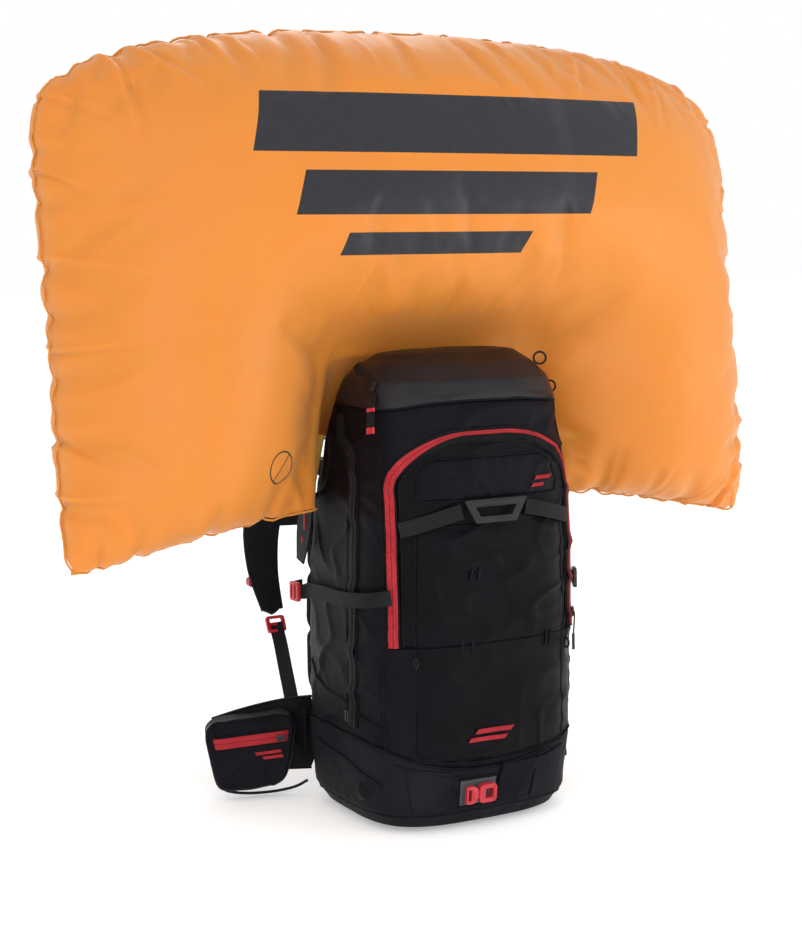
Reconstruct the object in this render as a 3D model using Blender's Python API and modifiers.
"""Avalanche airbag backpack with its airbag inflated, standing on its base.

Metres, +Z up. The outer (front) panel faces -Y, the harness and the wearer's back are at +Y, and the
wearer's left side is at -X. The origin is the centre of the flat base.
"""

import math

import bmesh
import bpy
import numpy as np
from mathutils import Matrix, Vector

# ---------------------------------------------------------------- driving dimensions
GAP = 0.0004  # clearance between touching pieces
SEAM = 0.0010  # clearance between the pack's curved fabric panels
FABRIC = 0.003  # pack wall: face fabric, foam and lining
PACK_HEIGHT = 0.618
RING_POINTS = 36  # points round the pack
FRONT_POWER = 3.2  # superellipse power of the plan outline, front half
BACK_POWER = 4.6  # and back half, which is squarer
# height, half width, front y, back y
PACK_PROFILE = (
    (0.000, 0.118, -0.096, 0.088),
    (0.008, 0.140, -0.118, 0.106),
    (0.030, 0.155, -0.131, 0.120),
    (0.100, 0.162, -0.136, 0.126),
    (0.250, 0.163, -0.136, 0.128),
    (0.360, 0.161, -0.133, 0.126),
    (0.430, 0.157, -0.128, 0.116),
    (0.500, 0.151, -0.118, 0.094),
    (0.545, 0.144, -0.107, 0.074),
    (0.580, 0.132, -0.090, 0.056),
    (0.602, 0.116, -0.066, 0.036),
    (0.614, 0.096, -0.042, 0.018),
    (0.618, 0.055, -0.024, 0.002),
)

FLAP_HALF_WIDTH = 0.142  # front compartment opening, out to the outer edge of its zip
FLAP_BOTTOM = 0.248
FLAP_TOP = 0.522
FLAP_CORNER = 0.075  # height of the opening's rounded shoulders
FLAP_CORNER_ACROSS = 0.118  # and how far they reach across
ZIP_WIDTH = 0.014
ZIP_PROUD = 0.0015
HANDLE_Z = 0.419
SKI_STRAP_INNER = 0.0478
SKI_STRAP_REACH = 0.0785  # from the handle to just inside the zip
BUCKLE_X = -0.026
BUCKLE_Z = 0.052

WEB_20 = 0.020
WEB_THICK = 0.0016

CYLINDER_RADIUS = 0.0365
CYLINDER_X = 0.072
CYLINDER_Y = 0.036
CYLINDER_BASE = 0.090
CYLINDER_TOP = 0.330

PORT_X = 0.0
PORT_Z = 0.529  # centre of the inflation port, through the upper back of the pack
PORT_RADIUS = 0.024

BAG_HALF_WIDTH = 0.526
BAG_BOTTOM = 0.338
BAG_TOP = 1.030
BAG_DEPTH_FRONT = 0.160
BAG_DEPTH_BACK = 0.180
BAG_LEAN = 0.165  # how far the seam plane moves back per metre of height
BAG_SEAM_Y = 0.012  # seam plane at the bottom corners
BAG_SKIN = 0.0014
BAG_COLUMNS = 24
BAG_ROWS = 14
BAG_CLEAR = 0.007  # between the bag and the pack
BAG_BEHIND = 0.025  # the seam plane behind the pack's back
BAG_ARCH = 0.074  # how far the lower seam rises between its corners
BAG_HARNESS_RISE = 0.075  # and how much further it rises over the harness
BAG_HARNESS_HALF = 0.128
BAG_HARNESS_EDGE = 0.035
BAG_TOP_DROP = 0.062  # how far the top seam falls towards its corners
BAG_WAIST = 0.016
BAG_CORNER_ACROSS = 0.062
BAG_CORNER_UP = 0.095
BAG_LOWER_CORNER = 0.35  # the lower corners are this much as round as the upper ones
SEAM_REGION = (-0.012, 0.030, 0.060)  # where the seam steps behind the pack: start, width, width above
DEPTH_REGION = (-0.006, 0.220, 0.140)  # where the bag is thinned behind the pack
BAG_THINNED_FRONT = 0.96
BAG_THINNED_BACK = 0.35

SHOULDER_PIVOT = (0.068, 0.133, 0.418)
HIP_PIVOT = (0.112, 0.138)
HIP_MIDDLE_Z = 0.078

BLACK = (0.018, 0.018, 0.021)
RED = (0.62, 0.03, 0.04)
ORANGE = (0.95, 0.40, 0.05)


# ---------------------------------------------------------------- scene and materials
def clear_scene():
    for obj in list(bpy.data.objects):
        bpy.data.objects.remove(obj, do_unlink=True)
    for group in list(bpy.data.collections):
        bpy.data.collections.remove(group)


def new_collection(name):
    group = bpy.data.collections.new(name)
    bpy.context.scene.collection.children.link(group)
    return group


def new_material(name, colour, roughness, metallic=0.0):
    mat = bpy.data.materials.new(name)
    mat.use_nodes = True
    shader = mat.node_tree.nodes["Principled BSDF"]
    shader.inputs["Base Color"].default_value = (*colour, 1.0)
    shader.inputs["Roughness"].default_value = roughness
    shader.inputs["Metallic"].default_value = metallic
    return mat


clear_scene()
PARTS = new_collection("avalanche_airbag_backpack")
HELPERS = new_collection("cutters")

MATERIALS = {
    "pack_fabric": new_material("pack_fabric", BLACK, 0.55),
    "webbing": new_material("webbing", (0.022, 0.022, 0.025), 0.7),
    "foam": new_material("foam", (0.03, 0.03, 0.034), 0.85),
    "airbag_nylon": new_material("airbag_nylon", ORANGE, 0.45),
    "zip_red": new_material("zip_red", RED, 0.4),
    "zip_black": new_material("zip_black", (0.012, 0.012, 0.013), 0.35),
    "plastic_red": new_material("plastic_red", RED, 0.3),
    "plastic_black": new_material("plastic_black", (0.02, 0.02, 0.022), 0.35),
    "aluminium": new_material("aluminium", (0.75, 0.76, 0.78), 0.32, 1.0),
    "brass": new_material("brass", (0.75, 0.56, 0.25), 0.3, 1.0),
    "steel": new_material("steel", (0.6, 0.6, 0.62), 0.3, 1.0),
    "rubber": new_material("rubber", (0.015, 0.015, 0.016), 0.75),
    "sheet_plastic": new_material("sheet_plastic", (0.05, 0.05, 0.055), 0.5),
}


# ---------------------------------------------------------------- helpers
def link(obj, slot, helper=False):
    (HELPERS if helper else PARTS).objects.link(obj)
    if helper:
        obj.hide_render = True
        obj.display_type = "WIRE"
    else:
        obj.data.materials.append(MATERIALS[slot])
    return obj


def mesh_object(name, verts, faces, slot, helper=False):
    mesh = bpy.data.meshes.new(name)
    mesh.from_pydata([tuple(v) for v in verts], [], faces)
    mesh.update()
    bm = bmesh.new()
    bm.from_mesh(mesh)
    bmesh.ops.remove_doubles(bm, verts=bm.verts, dist=1e-6)
    bmesh.ops.recalc_face_normals(bm, faces=bm.faces)
    bm.to_mesh(mesh)
    bm.free()
    return link(bpy.data.objects.new(name, mesh), slot, helper)


def modifier(obj, kind, **settings):
    made = obj.modifiers.new(kind.title(), kind)
    for key, value in settings.items():
        setattr(made, key, value)
    return made


def solidify(obj, thickness, offset=0.0):
    return modifier(obj, "SOLIDIFY", thickness=thickness, offset=offset, use_even_offset=True)


def bevel(obj, width, segments=1, angle=0.6):
    return modifier(obj, "BEVEL", width=width, segments=segments, limit_method="ANGLE", angle_limit=angle)


def boolean(obj, cutter, operation="DIFFERENCE"):
    return modifier(obj, "BOOLEAN", object=cutter, operation=operation, solver="EXACT")


def box(name, size, location, slot, rotation=(0, 0, 0), edge=0.0, helper=False):
    bm = bmesh.new()
    bmesh.ops.create_cube(bm, size=1.0)
    bmesh.ops.scale(bm, vec=Vector(size), verts=bm.verts)
    mesh = bpy.data.meshes.new(name)
    bm.to_mesh(mesh)
    bm.free()
    obj = link(bpy.data.objects.new(name, mesh), slot, helper)
    obj.location = location
    obj.rotation_euler = rotation
    if edge:
        bevel(obj, edge)
    return obj


def cylinder(name, radius, depth, location, slot, axis="Z", sides=24, helper=False):
    bm = bmesh.new()
    bmesh.ops.create_cone(bm, cap_ends=True, segments=sides, radius1=radius, radius2=radius, depth=depth)
    turn = {"X": Matrix.Rotation(math.pi / 2, 4, "Y"), "Y": Matrix.Rotation(math.pi / 2, 4, "X")}
    if axis in turn:
        bmesh.ops.transform(bm, matrix=turn[axis], verts=bm.verts)
    mesh = bpy.data.meshes.new(name)
    bm.to_mesh(mesh)
    bm.free()
    obj = link(bpy.data.objects.new(name, mesh), slot, helper)
    obj.location = location
    return obj


def turned(name, profile, location, slot, rotation=(0, 0, 0), steps=24):
    """A profile of (radius, height) pairs, from the top of the outer side down, turned about Z."""
    mesh = bpy.data.meshes.new(name)
    edges = [(i, i + 1) for i in range(len(profile) - 1)]
    mesh.from_pydata([(r, 0.0, z) for r, z in profile], edges, [])
    obj = link(bpy.data.objects.new(name, mesh), slot)
    modifier(
        obj,
        "SCREW",
        steps=steps,
        render_steps=steps,
        use_merge_vertices=True,
        merge_threshold=0.0001,
        use_smooth_shade=True,
    )
    obj.location = location
    obj.rotation_euler = rotation
    return obj


def smooth_path(points, per_span=4):
    """Catmull-Rom points through the given ones."""
    pts = [np.array(p, float) for p in points]
    pts = [2 * pts[0] - pts[1], *pts, 2 * pts[-1] - pts[-2]]
    found = []
    for i in range(1, len(pts) - 2):
        p0, p1, p2, p3 = pts[i - 1 : i + 3]
        for k in range(per_span):
            t = k / per_span
            found.append(
                0.5 * (2 * p1 + (p2 - p0) * t + (2 * p0 - 5 * p1 + 4 * p2 - p3) * t**2
                       + (3 * p1 - p0 - 3 * p2 + p3) * t**3)
            )
    found.append(pts[-2])
    return found


def tube(name, points, radius, slot, per_span=4, resolution=2, cyclic=False):
    data = bpy.data.curves.new(name, "CURVE")
    data.dimensions = "3D"
    data.bevel_depth = radius
    data.bevel_resolution = resolution
    data.use_fill_caps = not cyclic
    path = smooth_path(points, per_span)
    if cyclic:
        path = path[:-1]
    spline = data.splines.new("POLY")
    spline.points.add(len(path) - 1)
    for point, place in zip(spline.points, path):
        point.co = (*place, 1.0)
    spline.use_cyclic_u = cyclic
    return link(bpy.data.objects.new(name, data), slot)


def plate(name, outlines, thickness, slot, matrix, edge=0.0):
    """A flat plate from closed outlines of (u, v) points, the first its rim and the others its holes."""
    data = bpy.data.curves.new(name + "_outline", "CURVE")
    data.dimensions = "2D"
    data.fill_mode = "BOTH"
    data.extrude = thickness / 2
    for outline in outlines:
        spline = data.splines.new("POLY")
        spline.points.add(len(outline) - 1)
        for point, (u, v) in zip(spline.points, outline):
            point.co = (u, v, 0.0, 1.0)
        spline.use_cyclic_u = True
    flat = bpy.data.objects.new(name + "_outline", data)
    bpy.context.scene.collection.objects.link(flat)
    graph = bpy.context.evaluated_depsgraph_get()
    mesh = bpy.data.meshes.new_from_object(flat.evaluated_get(graph))
    bpy.data.objects.remove(flat, do_unlink=True)
    mesh.name = name
    bm = bmesh.new()
    bm.from_mesh(mesh)
    bmesh.ops.remove_doubles(bm, verts=bm.verts, dist=1e-6)
    bmesh.ops.recalc_face_normals(bm, faces=bm.faces)
    bm.to_mesh(mesh)
    bm.free()
    mesh.materials.clear()
    obj = link(bpy.data.objects.new(name, mesh), slot)
    obj.matrix_world = matrix
    if edge:
        bevel(obj, edge)
    return obj


def rectangle(width, height, u=0.0, v=0.0):
    w, h = width / 2, height / 2
    return [(u - w, v - h), (u + w, v - h), (u + w, v + h), (u - w, v + h)]


def rounded(width, height, radius, u=0.0, v=0.0, steps=3):
    """A rectangle's outline with round corners."""
    found = []
    for i, (sx, sy) in enumerate(((1, 1), (-1, 1), (-1, -1), (1, -1))):
        cx = u + sx * (width / 2 - radius)
        cy = v + sy * (height / 2 - radius)
        for k in range(steps + 1):
            a = math.radians(90 * i + 90 * k / steps)
            found.append((cx + radius * math.cos(a), cy + radius * math.sin(a)))
    return found


def facing(location, normal, up=(0, 0, 1)):
    """A frame whose local z is the given normal and whose local y is as near up as it can be."""
    z = Vector(normal).normalized()
    x = Vector(up).cross(z).normalized()
    y = z.cross(x)
    frame = Matrix((x, y, z)).transposed().to_4x4()
    frame.translation = Vector(location)
    return frame


def strip(name, path, across, widths, thickness, slot, offset=0.0):
    """Flat webbing or padding: a ribbon along path, across being its width direction at each point."""
    count = len(path)
    if not isinstance(widths, (list, tuple)):
        widths = [widths] * count
    if not isinstance(across, list):
        across = [across] * count
    verts = []
    for place, side, width in zip(path, across, widths):
        side = Vector(side).normalized() * width / 2
        verts += [Vector(place) - side, Vector(place) + side]
    faces = [(2 * i, 2 * i + 1, 2 * i + 3, 2 * i + 2) for i in range(count - 1)]
    mesh = bpy.data.meshes.new(name)
    mesh.from_pydata([tuple(v) for v in verts], [], faces)
    mesh.update()
    obj = link(bpy.data.objects.new(name, mesh), slot)
    solidify(obj, thickness, offset)
    return obj


def pivot(name, location):
    """An empty on a joint's axis."""
    empty = bpy.data.objects.new(name, None)
    empty.empty_display_size = 0.02
    empty.location = location
    PARTS.objects.link(empty)
    return empty


def attach(parent, *objs):
    bpy.context.view_layer.update()
    for obj in objs:
        obj.parent = parent
        obj.matrix_parent_inverse = parent.matrix_world.inverted()


# ---------------------------------------------------------------- the pack's form
def signed_power(value, power):
    return math.copysign(abs(value) ** power, value)


def profile_at(z):
    table = np.array(PACK_PROFILE)
    return [float(np.interp(z, table[:, 0], table[:, k])) for k in (1, 2, 3)]


def pack_point(angle, z, inset=0.0):
    """A point on the pack's outer face. Angle 0 is +X and 90 degrees is the back; inset goes inwards."""
    half, front, back = profile_at(z)
    depth = (back - front) / 2
    c, s = math.cos(angle), math.sin(angle)
    power = 2 / (BACK_POWER if s > 0 else FRONT_POWER)
    x = (half - inset) * signed_power(c, power)
    y = (front + back) / 2 + (depth - inset) * signed_power(s, power)
    return Vector((x, y, z))


def pack_normal(angle, z):
    step = 0.01
    along = pack_point(angle + step, z) - pack_point(angle - step, z)
    up = pack_point(angle, z + step) - pack_point(angle, z - step)
    return along.cross(up).normalized()


def ring_angles():
    return [2 * math.pi * k / RING_POINTS for k in range(RING_POINTS)]


def rows_shell(name, rows, inset, slot, cap_bottom=False, cap_top=False, helper=False):
    """Rings of points at the given heights; each row is a function of the angle."""
    verts = []
    for row in rows:
        verts += [pack_point(a, row(a), inset) for a in ring_angles()]
    faces = []
    n = RING_POINTS
    for r in range(len(rows) - 1):
        for k in range(n):
            j = (k + 1) % n
            faces.append((r * n + k, r * n + j, (r + 1) * n + j, (r + 1) * n + k))
    if cap_bottom:
        faces.append(tuple(reversed(range(n))))
    if cap_top:
        start = (len(rows) - 1) * n
        faces.append(tuple(range(start, start + n)))
    return mesh_object(name, verts, faces, slot, helper)


def level(z):
    return lambda angle: z


def between(low, high, share):
    return lambda angle: low(angle) * (1 - share) + high(angle) * share


def boot_seam(angle):
    """Top edge of the base boot: lowest at the front centre and higher on the sides."""
    return 0.082 + 0.040 * abs(math.cos(angle)) ** 1.4


def lid_seam(angle):
    """Lower edge of the lid: lowest at the front corners, arched over the front."""
    return 0.548 + 0.010 * abs(math.sin(angle)) ** 3


def shifted(row, by):
    return lambda angle: row(angle) + by


def flap_outline(margin):
    """Inverted U in the XZ plane, moved outwards by margin, from the lower left round to the lower right."""
    half = FLAP_HALF_WIDTH + margin
    rise = FLAP_CORNER + margin
    reach = FLAP_CORNER_ACROSS + margin
    top = FLAP_TOP + margin
    found = [(-half, FLAP_BOTTOM)]
    for k in range(9):
        a = math.radians(90 * k / 8)
        found.append((-half + reach * (1 - math.cos(a)), top - rise + rise * math.sin(a)))
    for k in range(9):
        a = math.radians(90 - 90 * k / 8)
        found.append((half - reach * (1 - math.cos(a)), top - rise + rise * math.sin(a)))
    found.append((half, FLAP_BOTTOM))
    return found


def front_cutter(name, outline):
    """A prism through the front half of the pack, from an outline in X and Z."""
    near = [(x, -0.2, z) for x, z in outline]
    far = [(x, -0.005, z) for x, z in outline]
    n = len(outline)
    faces = [tuple(range(n)), tuple(range(2 * n - 1, n - 1, -1))]
    faces += [(k, (k + 1) % n, n + (k + 1) % n, n + k) for k in range(n)]
    return mesh_object(name, near + far, faces, None, helper=True)


# ---------------------------------------------------------------- pack shells
def make_pack_shells():
    boot_rows = [level(0.0), level(0.004), level(0.012), level(0.030), level(0.055), boot_seam]
    boot = rows_shell("base_boot", boot_rows, 0.0, "pack_fabric", cap_bottom=True)
    solidify(boot, FABRIC, -1.0)

    low = shifted(boot_seam, SEAM)
    high = shifted(lid_seam, -SEAM)
    shares = (0, 0.12, 0.3, 0.5, 0.68, 0.78, 0.86, 0.93, 1)
    body_rows = [between(low, high, s) for s in shares]
    body = rows_shell("pack_shell", body_rows, 0.0, "pack_fabric")
    solidify(body, FABRIC, -1.0)

    lid_rows = [lid_seam, between(lid_seam, level(0.580), 0.5), level(0.580), level(0.596)]
    lid_rows += [level(0.604), level(0.611), level(0.616), level(PACK_HEIGHT)]
    lid = rows_shell("lid_panel", lid_rows, 0.0, "pack_fabric", cap_top=True)
    solidify(lid, FABRIC, -1.0)

    opening = front_cutter("front_opening_cutter", flap_outline(0.0))
    boolean(body, opening)

    flap = rows_shell("front_panel", body_rows, 0.0, "pack_fabric")
    solidify(flap, FABRIC, -1.0)
    inner = flap_outline(-ZIP_WIDTH)
    inner[0] = (inner[0][0], FLAP_BOTTOM + GAP)
    inner[-1] = (inner[-1][0], FLAP_BOTTOM + GAP)
    boolean(flap, front_cutter("front_panel_cutter", inner), "INTERSECT")

    band = rows_shell("front_zip", body_rows, -ZIP_PROUD, "zip_red")
    solidify(band, FABRIC + ZIP_PROUD - 0.001, -1.0)
    outer = flap_outline(-GAP)
    outer[0] = (outer[0][0], FLAP_BOTTOM + GAP)
    outer[-1] = (outer[-1][0], FLAP_BOTTOM + GAP)
    boolean(band, front_cutter("front_zip_outer_cutter", outer), "INTERSECT")
    hole = flap_outline(-ZIP_WIDTH + GAP)
    hole[0] = (hole[0][0], FLAP_BOTTOM - 0.01)
    hole[-1] = (hole[-1][0], FLAP_BOTTOM - 0.01)
    boolean(band, front_cutter("front_zip_inner_cutter", hole))
    return body


pack_shell = make_pack_shells()


# ---------------------------------------------------------------- airbag
def bag_region(x, z, start, width, over_width):
    """1 where the bag passes behind the pack, falling to 0 over a width beside it and above it."""
    half = profile_at(min(max(z, 0.0), 0.56))[0]
    side = 1 - smooth_step((abs(x) - half - start) / width)
    over = 1 - smooth_step((z - PACK_HEIGHT + 0.020) / over_width)
    return side * over


def smooth_step(t):
    t = min(max(t, 0.0), 1.0)
    return t * t * (3 - 2 * t)


def bag_bottom(x):
    """The lower seam: arched between the corners, and raised over the harness behind the pack."""
    across = min(abs(x) / BAG_HALF_WIDTH, 1.0)
    arch = 0.006 + BAG_ARCH * (1 - across**2.2)
    over_harness = BAG_HARNESS_RISE * (1 - smooth_step((abs(x) - BAG_HARNESS_HALF) / BAG_HARNESS_EDGE))
    return BAG_BOTTOM + arch + over_harness


def bag_top(x):
    across = min(abs(x) / BAG_HALF_WIDTH, 1.0)
    return BAG_TOP - BAG_TOP_DROP * across**2.4


def bag_point(s, t, side):
    """A point on the bag: s and t from -1 to 1 across and up, side -1 for the front sheet, 1 for the back."""
    corner = 1.0 if t > 0 else BAG_LOWER_CORNER
    round_off = 1 - BAG_CORNER_ACROSS * corner * s**6 * t**6
    waist = 1 - BAG_WAIST * (1 - t**2)
    x = BAG_HALF_WIDTH * s * waist * round_off
    low, high = bag_bottom(x), bag_top(x)
    middle, half = (low + high) / 2, (high - low) / 2
    z = middle + half * t * (1 - BAG_CORNER_UP * corner * s**6 * abs(t) ** 5)
    puff = ((1 - abs(s) ** 2.6) * (1 - abs(t) ** 2.6)) ** 0.5
    region = bag_region(x, z, *SEAM_REGION)
    around = bag_region(x, z, *DEPTH_REGION)
    seam_y = BAG_SEAM_Y + BAG_LEAN * (z - BAG_BOTTOM)
    behind = profile_at(min(z, PACK_HEIGHT - 0.008))[2] + BAG_BEHIND
    seam_y = seam_y * (1 - region) + max(seam_y, behind) * region
    if side < 0:
        return Vector((x, seam_y - BAG_DEPTH_FRONT * puff * (1 - BAG_THINNED_FRONT * around), z))
    return Vector((x, seam_y + BAG_DEPTH_BACK * puff * (1 - BAG_THINNED_BACK * around), z))


def grown_pack(name, by):
    """The pack's outer form grown by a clearance, as a solid that cuts the bag."""
    stretch = by / 2
    heights = [0.30, 0.36, 0.43, 0.50, 0.545, 0.58, 0.602, 0.614, PACK_HEIGHT]
    grown = rows_shell(name, [level(z) for z in heights], -by, None, True, True, helper=True)
    for vertex in grown.data.vertices:
        if vertex.co.z > 0.5:
            vertex.co.z += stretch + by * min((vertex.co.z - 0.5) / 0.1, 1.0)
    return grown


def pillow(name, helper=False):
    columns = [2 * k / BAG_COLUMNS - 1 for k in range(BAG_COLUMNS + 1)]
    columns = [0.45 * math.sin(math.pi / 2 * c) + 0.55 * c for c in columns]
    levels = [2 * k / BAG_ROWS - 1 for k in range(BAG_ROWS + 1)]
    levels = [0.6 * math.sin(math.pi / 2 * c) + 0.4 * c for c in levels]
    verts = []
    for side in (-1, 1):
        verts += [bag_point(s, t, side) for t in levels for s in columns]
    wide = BAG_COLUMNS + 1
    sheet = wide * (BAG_ROWS + 1)
    faces = []
    for side in (0, 1):
        for r in range(BAG_ROWS):
            for c in range(BAG_COLUMNS):
                a = side * sheet + r * wide + c
                quad = (a, a + 1, a + wide + 1, a + wide)
                faces.append(quad if side == 0 else tuple(reversed(quad)))
    return mesh_object(name, verts, faces, "airbag_nylon", helper)


def make_airbag():
    bag = pillow("airbag")
    inside = pillow("airbag_inside_cutter", helper=True)
    inside.data.update()
    moved = [v.co - v.normal * BAG_SKIN for v in inside.data.vertices]
    for vertex, place in zip(inside.data.vertices, moved):
        vertex.co = place
    boolean(bag, grown_pack("airbag_pack_cutter", BAG_CLEAR))
    boolean(inside, grown_pack("airbag_inside_pack_cutter", BAG_CLEAR + BAG_SKIN))
    boolean(bag, inside)
    port_at = (PORT_X, profile_at(PORT_Z)[2] + 0.02, PORT_Z)
    port = cylinder("airbag_port_cutter", PORT_RADIUS + GAP, 0.06, port_at, None, "Y", 16, True)
    boolean(bag, port)


make_airbag()


# ---------------------------------------------------------------- patches and fittings on the pack's face
def radians(degrees):
    return math.radians(degrees)


def pack_patch(name, angles, heights, inset, thickness, slot):
    """A panel lying on the pack's face between two angles (degrees) and two heights."""
    first, last = angles
    bottom, top = heights
    columns = max(4, int(abs(last - first) / 9))
    rows = max(3, int((top - bottom) / 0.05))
    verts = []
    for r in range(rows + 1):
        for c in range(columns + 1):
            angle = radians(first + (last - first) * c / columns)
            verts.append(pack_point(angle, bottom + (top - bottom) * r / rows, inset))
    wide = columns + 1
    faces = [
        (r * wide + c, r * wide + c + 1, (r + 1) * wide + c + 1, (r + 1) * wide + c)
        for r in range(rows)
        for c in range(columns)
    ]
    mesh = bpy.data.meshes.new(name)
    mesh.from_pydata([tuple(v) for v in verts], [], faces)
    mesh.update()
    obj = link(bpy.data.objects.new(name, mesh), slot)
    solidify(obj, thickness, 1.0)
    return obj


def on_pack(route, lift):
    """Points above the pack's face, from (angle in degrees, height) pairs."""
    found = []
    for angle, z in route:
        a = radians(angle)
        found.append(pack_point(a, z) + pack_normal(a, z) * lift)
    return found


def face_strap(name, route, width, thickness, slot, lift=None, per_span=4):
    """Webbing or zip tape lying on the pack's face along a route of (angle, height) pairs."""
    route = [tuple(p) for p in smooth_path([(a, z, 0) for a, z in route], per_span)]
    route = [(p[0], p[1]) for p in route]
    height = lift if lift is not None else SEAM + thickness / 2
    path = on_pack(route, height)
    across = []
    for i, (angle, z) in enumerate(route):
        ahead = path[min(i + 1, len(path) - 1)] - path[max(i - 1, 0)]
        across.append(pack_normal(radians(angle), z).cross(ahead))
    return strip(name, path, across, width, thickness, slot)


def make_front_fittings():
    ski_left = face_strap("ski_strap_left", [(-134, 0.398), (-120, 0.406), (-103, 0.420)], WEB_20, WEB_THICK,
                          "webbing")
    ski_right = face_strap("ski_strap_right", [(-46, 0.398), (-60, 0.406), (-77, 0.420)], WEB_20, WEB_THICK,
                           "webbing")
    handle_at = pack_point(radians(-90), HANDLE_Z) + Vector((0, -0.0062, 0))
    outline = [(-0.046, 0.013), (-0.030, -0.015), (0.030, -0.015), (0.046, 0.013)]
    window = [(-0.031, 0.005), (-0.023, -0.007), (0.023, -0.007), (0.031, 0.005)]
    plate("front_handle", [outline, window], 0.003, "rubber",
          facing(handle_at, pack_normal(radians(-90), HANDLE_Z)))
    for strap, sign in ((ski_left, -1), (ski_right, 1)):
        middle = sign * (SKI_STRAP_INNER + SKI_STRAP_REACH / 2)
        keep = box(strap.name + "_keep", (SKI_STRAP_REACH, 0.2, 0.2), (middle, -0.13, 0.41), None, helper=True)
        boolean(strap, keep, "INTERSECT")


def make_front_slider():
    """Slider and pull on the right leg of the front zip."""
    x = FLAP_HALF_WIDTH - ZIP_WIDTH / 2
    place = front_face_point(x, 0.268, ZIP_PROUD + 0.0032)
    normal = front_normal(x, 0.268)
    slider = plate("front_zip_slider", [rounded(0.008, 0.014, 0.002)], 0.0035, "plastic_black",
                   facing(place, normal))
    tab = plate("front_slider_tab", [rounded(0.006, 0.046, 0.002)], 0.002, "plastic_black",
                facing(place + normal * 0.0022 + Vector((0, 0, -0.026)), normal))
    join_with(slider, tab)


def join_with(obj, other):
    """Union of other into obj, other becoming a helper."""
    PARTS.objects.unlink(other)
    HELPERS.objects.link(other)
    other.hide_render = True
    other.display_type = "WIRE"
    boolean(obj, other, "UNION")


def front_angle(x, z):
    """The angle at which the front face passes the given x."""
    half = profile_at(z)[0]
    return -math.acos(min(max(signed_power(x / half, FRONT_POWER / 2), -1), 1))


def front_face_point(x, z, lift):
    a = front_angle(x, z)
    return pack_point(a, z) + pack_normal(a, z) * lift


def front_normal(x, z):
    return pack_normal(front_angle(x, z), z)


def make_loops():
    """Small cord loops on the front and on the lid's right edge."""
    for name, x, z, reach in (
        ("gear_loop_left", -0.112, 0.232, 0.010),
        ("gear_loop_right", 0.112, 0.232, 0.010),
        ("lid_loop_rear", 0.116, 0.594, 0.016),
        ("lid_loop_front", 0.1390, 0.558, 0.014),
    ):
        normal = front_normal(x, z)
        if name.startswith("lid"):
            normal = (normal + Vector((0.10, 0.0, 0.45))).normalized()
        foot = front_face_point(x, z, 0.0036)
        side = normal.cross(Vector((0, 1, 0.3))).normalized() * 0.006
        arch = [foot - side, foot - side * 1.25 + normal * reach * 0.6, foot + normal * reach]
        arch += [foot + side * 1.25 + normal * reach * 0.6, foot + side]
        tube(name, arch, 0.0014, "webbing", per_span=3, resolution=1)


def make_side_zip():
    face_strap("side_zip", [(187, 0.135), (187.5, 0.25), (187.5, 0.36), (184, 0.46), (175, 0.535)],
               0.016, 0.0012, "zip_black")
    place = on_pack([(187, 0.150)], 0.0050)[0]
    plate("side_zip_slider", [rounded(0.009, 0.024, 0.002)], 0.0035, "plastic_black",
          facing(place, pack_normal(radians(187), 0.150)))


# angle, height and distance off the pack's face: the pull hangs clear of the face as its slider runs
LID_PULL_ROUTE = ((199.5, 0.566, 0.0050), (203, 0.545, 0.0120), (206, 0.517, 0.0165))


def make_lid_zip():
    face_strap("lid_zip", [(168, 0.597), (182, 0.588), (197, 0.572)], 0.012, 0.0012, "zip_black")
    a = radians(197)
    place = pack_point(a, 0.5745) + pack_normal(a, 0.5745) * 0.0048
    frame = facing(place, pack_normal(a, 0.5745))
    plate("lid_zip_slider", [rounded(0.009, 0.013, 0.002)], 0.0034, "plastic_black", frame)
    hang = []
    for angle, z, lift in LID_PULL_ROUTE:
        hang.append(pack_point(radians(angle), z) + pack_normal(radians(angle), z) * lift)
    strip("lid_zip_pull", smooth_path(hang, 2), Vector((0.45, -0.89, 0.0)), 0.010, 0.0026, "zip_red")


def make_compression():
    left_route = [(155.5, 0.292), (167, 0.296), (185, 0.302), (205, 0.308), (221, 0.314)]
    right_route = [(31, 0.292), (15, 0.296), (-5, 0.302), (-18, 0.306)]
    for side, route in (("left", left_route), ("right", right_route)):
        face_strap("compression_strap_" + side, route, WEB_20, WEB_THICK, "webbing", lift=0.0040)
    right_angle, right_z = radians(-27.5), 0.309
    right_normal = pack_normal(right_angle, right_z)
    right_frame = facing(pack_point(right_angle, right_z) + right_normal * 0.0065, right_normal)
    left_frame = facing((-0.1680, 0.101, 0.289), (-1, -0.06, 0))
    for name, frame, slot in (
        ("ladder_lock_left", left_frame, "plastic_red"),
        ("ladder_lock_right", right_frame, "plastic_black"),
    ):
        outline = rounded(0.024, 0.027, 0.004)
        holes = [rectangle(0.004, 0.020, u) for u in (-0.0062, 0.0062)]
        plate(name, [outline, *holes], 0.0045, slot, frame)


def make_front_buckle():
    """Side-release buckle low on the front: the receiver is to the right and the prongs to the left."""
    z = BUCKLE_Z
    centre = front_face_point(BUCKLE_X, z, 0.0078)
    female = box("front_buckle_female", (0.026, 0.009, 0.025), centre + Vector((0.011, 0, 0)), "plastic_red",
                 edge=0.0015)
    slot = box("front_buckle_slot", (0.034, 0.0055, 0.017), centre + Vector((-0.0035, 0, 0)), None, helper=True)
    boolean(female, slot)
    male = box("front_buckle_male", (0.018, 0.008, 0.024), centre + Vector((-0.0118, 0, 0)), "plastic_red",
               edge=0.0015)
    tongue = box("front_buckle_tongue", (0.014, 0.0045, 0.015), centre + Vector((0.002, 0, 0)), "plastic_red")
    join_with(male, tongue)


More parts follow.
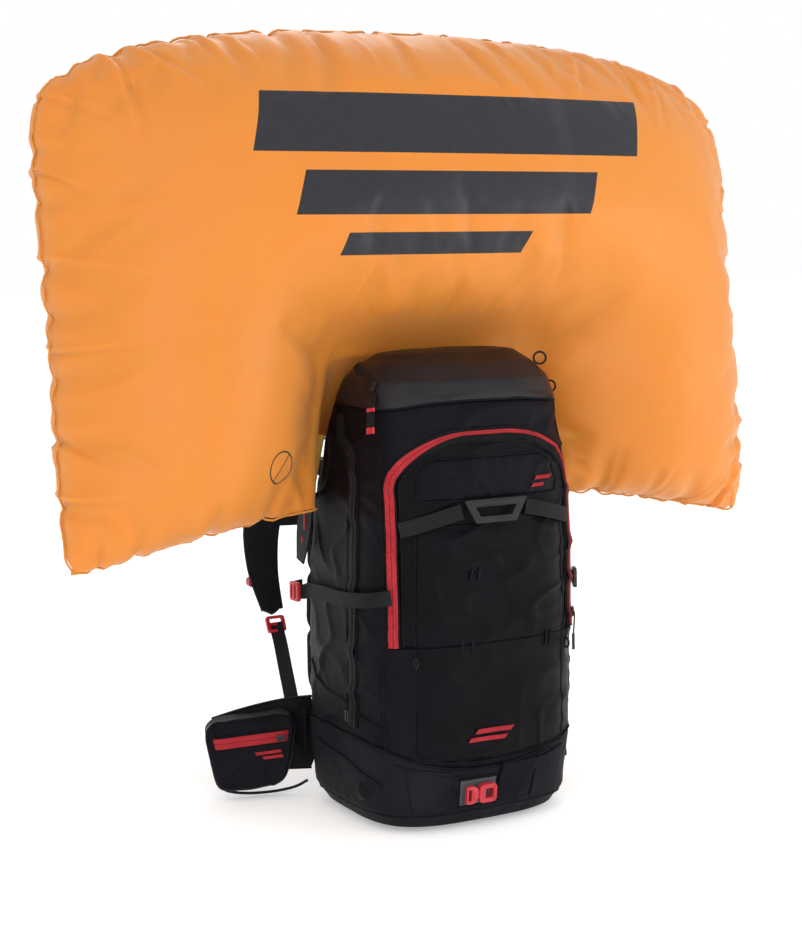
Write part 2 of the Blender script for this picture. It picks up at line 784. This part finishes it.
# ---------------------------------------------------------------- harness
def make_back():
    pack_patch("back_panel", (44, 136), (0.150, 0.392), -SEAM, 0.014, "foam")


def mirrored(points, sign):
    return [(sign * x, y, z) for x, y, z in points]


SHOULDER_ROUTE = (
    (0.068, 0.1240, 0.418),
    (0.078, 0.165, 0.444),
    (0.094, 0.225, 0.442),
    (0.110, 0.275, 0.408),
    (0.120, 0.300, 0.350),
    (0.124, 0.292, 0.285),
    (0.122, 0.262, 0.222),
)
SHOULDER_WIDTHS = (0.052, 0.060, 0.064, 0.062, 0.056, 0.046, 0.030)
LOWER_WEB_ROUTE = ((0.1225, 0.240, 0.186), (0.132, 0.205, 0.156), (0.142, 0.166, 0.120))


def make_shoulder(side, sign):
    per_span = 3
    path = smooth_path(mirrored(SHOULDER_ROUTE, sign), per_span)
    widths = [w[0] for w in smooth_path([(w, 0, 0) for w in SHOULDER_WIDTHS], per_span)]
    strip("shoulder_strap_" + side, path, (1, 0, 0), widths, 0.012, "foam")
    end = Vector(path[-1])
    down = (end - Vector(path[-2])).normalized()
    normal = Vector((1, 0, 0)).cross(down).normalized()
    if normal.y < 0:
        normal = -normal
    slots = [rectangle(0.021, 0.0036, 0, v) for v in (0.0055, -0.0055)]
    plate("strap_lock_" + side, [rounded(0.029, 0.024, 0.004), *slots], 0.0045, "plastic_red",
          facing(end + down * 0.0145, normal))
    web_path = smooth_path(mirrored(LOWER_WEB_ROUTE, sign), 4)
    strip("lower_webbing_" + side, web_path, (1, 0.25 * sign, 0.1), WEB_20, WEB_THICK, "webbing")
    make_sternum(side, sign)


def make_sternum(side, sign):
    """One half of the sternum strap, with its half of the buckle, inside the shoulder strap's line."""
    y, z = 0.3100, 0.352
    run = ((0.146, z), (0.110, z), (0.075, z - 0.002), (0.040, z - 0.003))
    path = [(sign * across, y, height) for across, height in run]
    web = strip("sternum_strap_" + side, path, (0, 0.1, 1), WEB_20, WEB_THICK, "webbing")
    size = (0.030, 0.008, 0.026) if side == "left" else (0.016, 0.008, 0.026)
    block = box("sternum_end_" + side, size, (sign * 0.032, y, z - 0.003), "plastic_black", edge=0.0015)
    join_with(web, block)
    if side == "right":
        prongs = box("sternum_prongs", (0.016, 0.004, 0.016), (0.0200, y, z - 0.003), "plastic_black")
        join_with(web, prongs)


def make_trigger():
    """Pull handle at the left shoulder strap, its sleeve and its cable."""
    x = -0.1215
    sleeve = box("trigger_sleeve", (0.030, 0.0035, 0.058), (x, 0.3105, 0.302), "pack_fabric", edge=0.0012)
    sleeve.rotation_euler = (radians(-4), 0, 0)
    box("trigger_handle", (0.034, 0.012, 0.014), (x, 0.3125, 0.2615), "plastic_red", edge=0.003)


def make_hip(side, sign):
    px, py = HIP_PIVOT
    route = [(px + 0.004, py + 0.004, 0.078), (px + 0.048, py + 0.014, 0.078), (px + 0.100, py + 0.030, 0.074),
             (px + 0.146, py + 0.056, 0.070)]
    path = smooth_path(mirrored(route, sign), 3)
    widths = [w[0] for w in smooth_path([(0.104, 0, 0), (0.100, 0, 0), (0.088, 0, 0), (0.062, 0, 0)], 3)]
    strip("hip_wing_" + side, path, (0, 0, 1), widths, 0.012, "foam")
    return path


def make_hip_pocket(path):
    """Zipped pocket on the outer face of the left hip wing."""
    ahead = (Vector(path[-1]) - Vector(path[2])).normalized()
    outward = ahead.cross(Vector((0, 0, 1))).normalized()
    if outward.y > 0:
        outward = -outward
    middle = (Vector(path[2]) + Vector(path[-1])) / 2 + ahead * 0.004
    middle.z = 0.0660
    inner = middle + outward * 0.0150
    rings = []
    for depth, scale in ((0.0, 1.0), (0.018, 1.0), (0.032, 0.93), (0.040, 0.80)):
        ring = []
        for u, v in rounded(0.134 * scale, 0.094 * scale, 0.020 * scale, steps=3):
            lower = 0.88 + 0.12 * (v / 0.045)
            ring.append(inner + outward * depth + ahead * u * lower + Vector((0, 0, v + 0.05 * u)))
        rings.append(ring)
    verts = [v for ring in rings for v in ring]
    n = len(rings[0])
    faces = [tuple(range(n))]
    faces += [
        (r * n + k, r * n + (k + 1) % n, (r + 1) * n + (k + 1) % n, (r + 1) * n + k)
        for r in range(len(rings) - 1)
        for k in range(n)
    ]
    pocket = mesh_object("hip_pocket", verts, faces + [tuple(range(3 * n, 4 * n))], "pack_fabric")
    hollow = mesh_object("hip_pocket_cutter", [middle + (v - middle) * 0.93 for v in verts],
                         faces + [tuple(range(3 * n, 4 * n))], None, helper=True)
    mouth_frame = facing(inner + outward * 0.038 + Vector((0, 0, 0.020)), outward)
    mouth = plate("hip_mouth_cutter", [rectangle(0.088, 0.009)], 0.030, "foam", mouth_frame)
    PARTS.objects.unlink(mouth)
    HELPERS.objects.link(mouth)
    mouth.hide_render = True
    mouth.display_type = "WIRE"
    boolean(pocket, hollow)
    boolean(pocket, mouth)
    frame = facing(inner + outward * 0.0415 + Vector((0, 0, 0.020)), outward)
    plate("hip_zip", [rounded(0.098, 0.014, 0.003)], 0.0016, "zip_red", frame)
    slider_at = inner + outward * 0.0450 + Vector((0, 0, 0.020)) + ahead * -0.040
    plate("hip_zip_slider", [rounded(0.012, 0.009, 0.002)], 0.0034, "plastic_black", facing(slider_at, outward))
    return outward


def make_hip_loop(path, outward):
    """Thin webbing that hangs in a loop below the pocket, from the wing's tip to its root."""
    tip = Vector(path[-2]) + outward * 0.030
    root = Vector(path[1]) + outward * 0.022
    points = [
        (tip.x, tip.y, 0.0165),
        (tip.x * 0.93 + root.x * 0.07, tip.y * 0.93 + root.y * 0.07, 0.0085),
        (tip.x * 0.7 + root.x * 0.3, tip.y * 0.7 + root.y * 0.3, 0.0036),
        (tip.x * 0.4 + root.x * 0.6, tip.y * 0.4 + root.y * 0.6, 0.0036),
        (tip.x * 0.15 + root.x * 0.85, tip.y * 0.15 + root.y * 0.85, 0.0080),
        (root.x, root.y, 0.0160),
    ]
    tube("hip_webbing_loop", points, 0.0020, "webbing", per_span=4, resolution=2)


def make_hip_buckles(paths):
    """Webbing end and buckle half at each wing's tip."""
    for side, sign in (("left", -1), ("right", 1)):
        tip = Vector(paths[side][-1])
        ahead = (tip - Vector(paths[side][-2])).normalized()
        normal = ahead.cross(Vector((0, 0, 1)))
        inward = normal if normal.y > 0 else -normal
        frame = facing(tip - ahead * 0.024 + inward * 0.0108, inward)
        slots = [rectangle(0.005, 0.026, u) for u in (0.010, -0.010)]
        plate("hip_buckle_" + side, [rounded(0.034, 0.040, 0.005), *slots], 0.006, "plastic_black", frame)


def make_haul_handle():
    y = 0.1265
    left_leg = [(-0.030, y, 0.432), (-0.026, y + 0.004, 0.448)]
    right_leg = [(-x, back, z) for x, back, z in reversed(left_leg)]
    points = [*left_leg, (0.0, y + 0.010, 0.462), *right_leg]
    tube("haul_handle", points, 0.0045, "webbing", per_span=3, resolution=2)


def make_airbag_flap():
    """Burst flap of the airbag's compartment, hanging beside the pack's left back edge."""
    path = [(-0.1665, 0.074, 0.404), (-0.1680, 0.076, 0.370), (-0.1685, 0.084, 0.333)]
    strip("airbag_flap", path, (0.05, 0.99, 0), [0.044, 0.040, 0.022], 0.0022, "pack_fabric")


# ---------------------------------------------------------------- inside the pack
def make_inside():
    box("divider_panel", (0.250, 0.0015, 0.380), (0, -0.048, 0.300), "pack_fabric")
    box("frame_sheet", (0.230, 0.002, 0.330), (0, 0.1085, 0.230), "sheet_plastic")
    for side, sign in (("left", -1), ("right", 1)):
        box("frame_stay_" + side, (0.012, 0.003, 0.320), (sign * 0.062, 0.1055, 0.230), "aluminium")
    low, high, r = CYLINDER_BASE, CYLINDER_TOP, CYLINDER_RADIUS
    profile = [(0.0, high), (0.012, high), (0.012, high - 0.014), (0.022, high - 0.022), (0.033, high - 0.034),
               (r, high - 0.050), (r, low + 0.014), (r - 0.005, low + 0.004), (r - 0.014, low), (0.0, low)]
    turned("air_cylinder", profile, (CYLINDER_X, CYLINDER_Y, 0), "aluminium", steps=20)
    head_at = (CYLINDER_X, CYLINDER_Y, high + GAP + 0.015)
    valve = box("valve_head", (0.040, 0.032, 0.030), head_at, "brass", edge=0.002)
    bore_at = (CYLINDER_X, CYLINDER_Y, high + 0.030)
    bore = cylinder("valve_bore", 0.0048, 0.024, bore_at, None, sides=16, helper=True)
    boolean(valve, bore)
    piston = [(0.0, 0.034), (0.0030, 0.034), (0.0030, 0.012), (0.0042, 0.012), (0.0042, 0.0), (0.0, 0.0)]
    turned("valve_piston", piston, (CYLINDER_X, CYLINDER_Y, high + 0.0195), "steel", steps=16)
    gauge = [(0.0, 0.012), (0.012, 0.012), (0.0125, 0.010), (0.0125, 0.0), (0.0, 0.0)]
    gauge_at = (CYLINDER_X - 0.020 - GAP, CYLINDER_Y, high + 0.014)
    turned("pressure_gauge", gauge, gauge_at, "steel", (0, radians(-90), 0), steps=20)
    inner, outer, half = r + GAP, r + 0.0030, 0.0125
    band = [(outer, half), (outer, -half), (inner, -half), (inner, half), (outer, half)]
    turned("cylinder_strap", band, (CYLINDER_X, CYLINDER_Y, 0.215), "webbing", steps=24)


def make_ejector():
    """The jet pump that fills the bag, through the pack's upper back."""
    wall_y = profile_at(PORT_Z)[2]
    start = wall_y - 0.030
    inner, outer = 0.0200, PORT_RADIUS - GAP
    length = 0.074
    profile = [(outer + 0.007, length), (outer + 0.007, length - 0.004), (outer, length - 0.004), (outer, 0.0),
               (inner, 0.0), (inner, length), (outer + 0.007, length)]
    turned("ejector", profile, (PORT_X, start, PORT_Z), "plastic_black", (radians(-90), 0, 0), steps=20)
    cylinder("jet_nozzle", 0.006, 0.022, (PORT_X, start - 0.0115, PORT_Z), "brass", "Y", 12)
    cylinder("check_flap", 0.0225, 0.0012, (PORT_X, start + length + 0.0012, PORT_Z), "rubber", "Y", 20)
    tube(
        "inflation_hose",
        [
            (CYLINDER_X, CYLINDER_Y - 0.0165, CYLINDER_TOP + 0.012),
            (CYLINDER_X, CYLINDER_Y - 0.035, CYLINDER_TOP + 0.014),
            (CYLINDER_X - 0.008, CYLINDER_Y - 0.046, CYLINDER_TOP + 0.045),
            (CYLINDER_X - 0.036, CYLINDER_Y - 0.044, CYLINDER_TOP + 0.110),
            (PORT_X + 0.022, start - 0.056, PORT_Z - 0.030),
            (PORT_X + 0.004, start - 0.046, PORT_Z - 0.004),
            (PORT_X, start - 0.0232, PORT_Z),
        ],
        0.0042,
        "rubber",
        per_span=4,
    )
    tube(
        "trigger_cable",
        [
            (CYLINDER_X, CYLINDER_Y, CYLINDER_TOP + 0.0670),
            (CYLINDER_X - 0.002, CYLINDER_Y + 0.004, CYLINDER_TOP + 0.084),
            (CYLINDER_X - 0.030, CYLINDER_Y + 0.040, CYLINDER_TOP + 0.104),
            (0.0, 0.094, 0.424),
            (-0.045, 0.1000, 0.4180),
            (-0.064, 0.1080, 0.4180),
        ],
        0.0020,
        "rubber",
        per_span=4,
    )
    hole = cylinder("ejector_hole_cutter", PORT_RADIUS, 0.05, (PORT_X, wall_y, PORT_Z), None, "Y", 20, True)
    boolean(pack_shell, hole)


# ---------------------------------------------------------------- assembly
make_front_fittings()
make_front_slider()
make_loops()
make_side_zip()
make_lid_zip()
make_compression()
make_front_buckle()
make_back()
hip_paths = {}
for side_name, side_sign in (("left", -1), ("right", 1)):
    make_shoulder(side_name, side_sign)
    hip_paths[side_name] = make_hip(side_name, side_sign)
make_trigger()
pocket_outward = make_hip_pocket(hip_paths["left"])
make_hip_loop(hip_paths["left"], pocket_outward)
make_hip_buckles(hip_paths)
make_haul_handle()
make_airbag_flap()
make_inside()
make_ejector()


# ---------------------------------------------------------------- pivots of the moving pieces
FLAP_AXIS_Z = FLAP_BOTTOM + GAP
FLAP_AXIS_Y = -0.1375
COMPRESSION_LOCKS = {"ladder_lock_left": (-0.1680, 0.090, 0.289), "ladder_lock_right": (0.1690, -0.058, 0.309)}
# pivot name: place on the joint's axis, and the pieces that move with it
PIVOTS = {
    "front_panel_pivot": ((0, FLAP_AXIS_Y, FLAP_AXIS_Z), ("front_panel", "ski_strap_left", "ski_strap_right")),
    "front_handle_pivot": ((0, -0.139, HANDLE_Z + 0.014), ("front_handle",)),
    "front_slider_pivot": ((FLAP_HALF_WIDTH - ZIP_WIDTH / 2, -0.10, 0.268), ("front_zip_slider",)),
    "side_slider_pivot": ((-0.166, -0.035, 0.150), ("side_zip_slider",)),
    "lid_slider_pivot": ((-0.118, -0.03, 0.5745), ("lid_zip_slider", "lid_zip_pull")),
    "hip_slider_pivot": ((-0.21, 0.12, 0.086), ("hip_zip_slider",)),
    "front_buckle_pivot": ((BUCKLE_X, -0.14, BUCKLE_Z), ("front_buckle_male",)),
    "haul_handle_pivot": ((0, 0.1265, 0.432), ("haul_handle",)),
    "check_flap_pivot": ((PORT_X, 0.128, PORT_Z + 0.0225), ("check_flap",)),
    "valve_piston_pivot": ((CYLINDER_X, CYLINDER_Y, CYLINDER_TOP), ("valve_piston",)),
    "trigger_pivot": ((-0.1215, 0.3125, 0.2615), ("trigger_handle",)),
    "ladder_lock_left_pivot": (COMPRESSION_LOCKS["ladder_lock_left"], ("ladder_lock_left",)),
    "ladder_lock_right_pivot": (COMPRESSION_LOCKS["ladder_lock_right"], ("ladder_lock_right",)),
}


def place_pivots():
    for name, (place, pieces) in PIVOTS.items():
        attach(pivot(name, place), *[bpy.data.objects[piece] for piece in pieces])
    sx, sy, sz = SHOULDER_PIVOT
    hx, hy = HIP_PIVOT
    for side, sign in (("left", -1), ("right", 1)):
        shoulder = pivot("shoulder_pivot_" + side, (sign * sx, sy, sz))
        names = ["shoulder_strap_", "strap_lock_", "sternum_strap_"]
        attach(shoulder, *[bpy.data.objects[name + side] for name in names])
        hip = pivot("hip_pivot_" + side, (sign * hx, hy, HIP_MIDDLE_Z))
        attach(hip, *[bpy.data.objects[name + side] for name in ("hip_wing_", "hip_buckle_")])
    attach(bpy.data.objects["shoulder_pivot_left"], bpy.data.objects["trigger_sleeve"])
    attach(bpy.data.objects["shoulder_pivot_left"], bpy.data.objects["trigger_pivot"])
    for name in ("hip_pocket", "hip_zip", "hip_webbing_loop", "hip_slider_pivot"):
        attach(bpy.data.objects["hip_pivot_left"], bpy.data.objects[name])


place_pivots()
